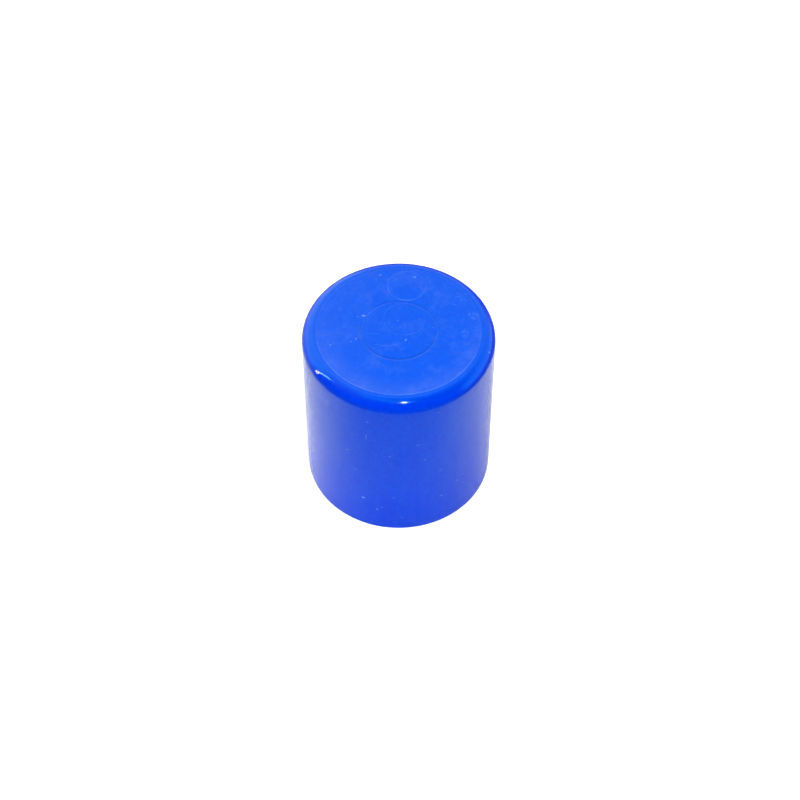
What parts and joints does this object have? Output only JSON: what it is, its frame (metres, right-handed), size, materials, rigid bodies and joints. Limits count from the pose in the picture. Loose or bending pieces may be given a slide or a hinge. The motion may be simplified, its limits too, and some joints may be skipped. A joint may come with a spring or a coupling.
{
  "type": "round cue chalk with cap",
  "caption": "Round billiard cue chalk with a dished face and paper wrap, standing under a glossy blue moulded push-on cap that lifts off upward.",
  "frame": {"origin": "centre of the flat underside, where the cap's rim and the chalk's paper back stand", "axes": "+Z along the common axis of the cap and the chalk, towards the cap's closed end; the witness circles on the closed end lie towards +X and +Y"},
  "size_m": [0.03, 0.03, 0.032],
  "materials": {
    "cap_plastic": "gloss",
    "chalk": "matte",
    "band_paper": "matte",
    "back_paper": "matte"
  },
  "bodies": {
    "chalk": {"chalk_cake": "chalk", "paper_band": "band_paper", "paper_back": "back_paper"},
    "cap": {"cap_shell": "cap_plastic"}
  },
  "joints": [
    {"name": "cap_lift", "type": "slide", "parent": "chalk", "child": "cap", "axis": [0, 0, 1], "range_m": [0, 0.032]}
  ]
}
